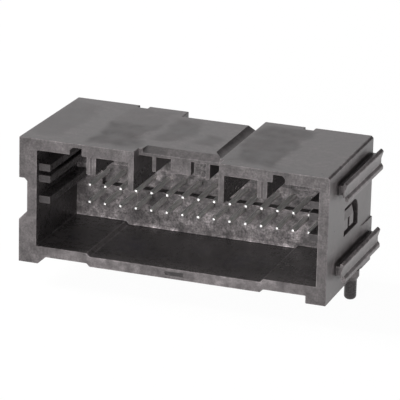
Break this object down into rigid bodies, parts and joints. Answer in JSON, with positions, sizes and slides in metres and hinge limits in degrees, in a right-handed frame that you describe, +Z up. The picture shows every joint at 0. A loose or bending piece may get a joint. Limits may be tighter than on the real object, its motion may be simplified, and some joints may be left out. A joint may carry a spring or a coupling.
{
  "type": "right-angle shrouded pin header",
  "caption": "Stackable right-angle board header: open-front moulded shroud with keying ribs and a latch bridge, rows of bent square pins, side rails and locating pegs.",
  "frame": {"origin": "on the board's surface, in the middle of the pin columns, under the front mating face", "axes": "+X along the pin rows towards the side with the rails, +Y from the open front to the tails, +Z up from the board"},
  "size_m": [0.0507, 0.0225, 0.0232],
  "materials": {
    "housing_plastic": "black glass-filled moulding, satin with a fine mould texture",
    "plate_plastic": "black moulding, satin",
    "pin_plating": "bright tin plating on drawn square wire"
  },
  "bodies": {
    "root": {"housing": "housing_plastic", "tail_plate": "plate_plastic", "pin_top_01": "pin_plating", "pin_top_02": "pin_plating", "pin_top_03": "pin_plating", "pin_top_04": "pin_plating", "pin_top_05": "pin_plating", "pin_top_06": "pin_plating", "pin_top_07": "pin_plating", "pin_top_08": "pin_plating", "pin_top_09": "pin_plating", "pin_top_10": "pin_plating", "pin_top_11": "pin_plating", "pin_top_12": "pin_plating", "pin_top_13": "pin_plating", "pin_top_14": "pin_plating", "pin_top_15": "pin_plating", "pin_bottom_01": "pin_plating", "pin_bottom_02": "pin_plating", "pin_bottom_03": "pin_plating", "pin_bottom_04": "pin_plating", "pin_bottom_05": "pin_plating", "pin_bottom_06": "pin_plating", "pin_bottom_07": "pin_plating", "pin_bottom_08": "pin_plating", "pin_bottom_09": "pin_plating", "pin_bottom_10": "pin_plating", "pin_bottom_11": "pin_plating", "pin_bottom_12": "pin_plating", "pin_bottom_13": "pin_plating", "pin_bottom_14": "pin_plating", "pin_bottom_15": "pin_plating"}
  },
  "joints": []
}
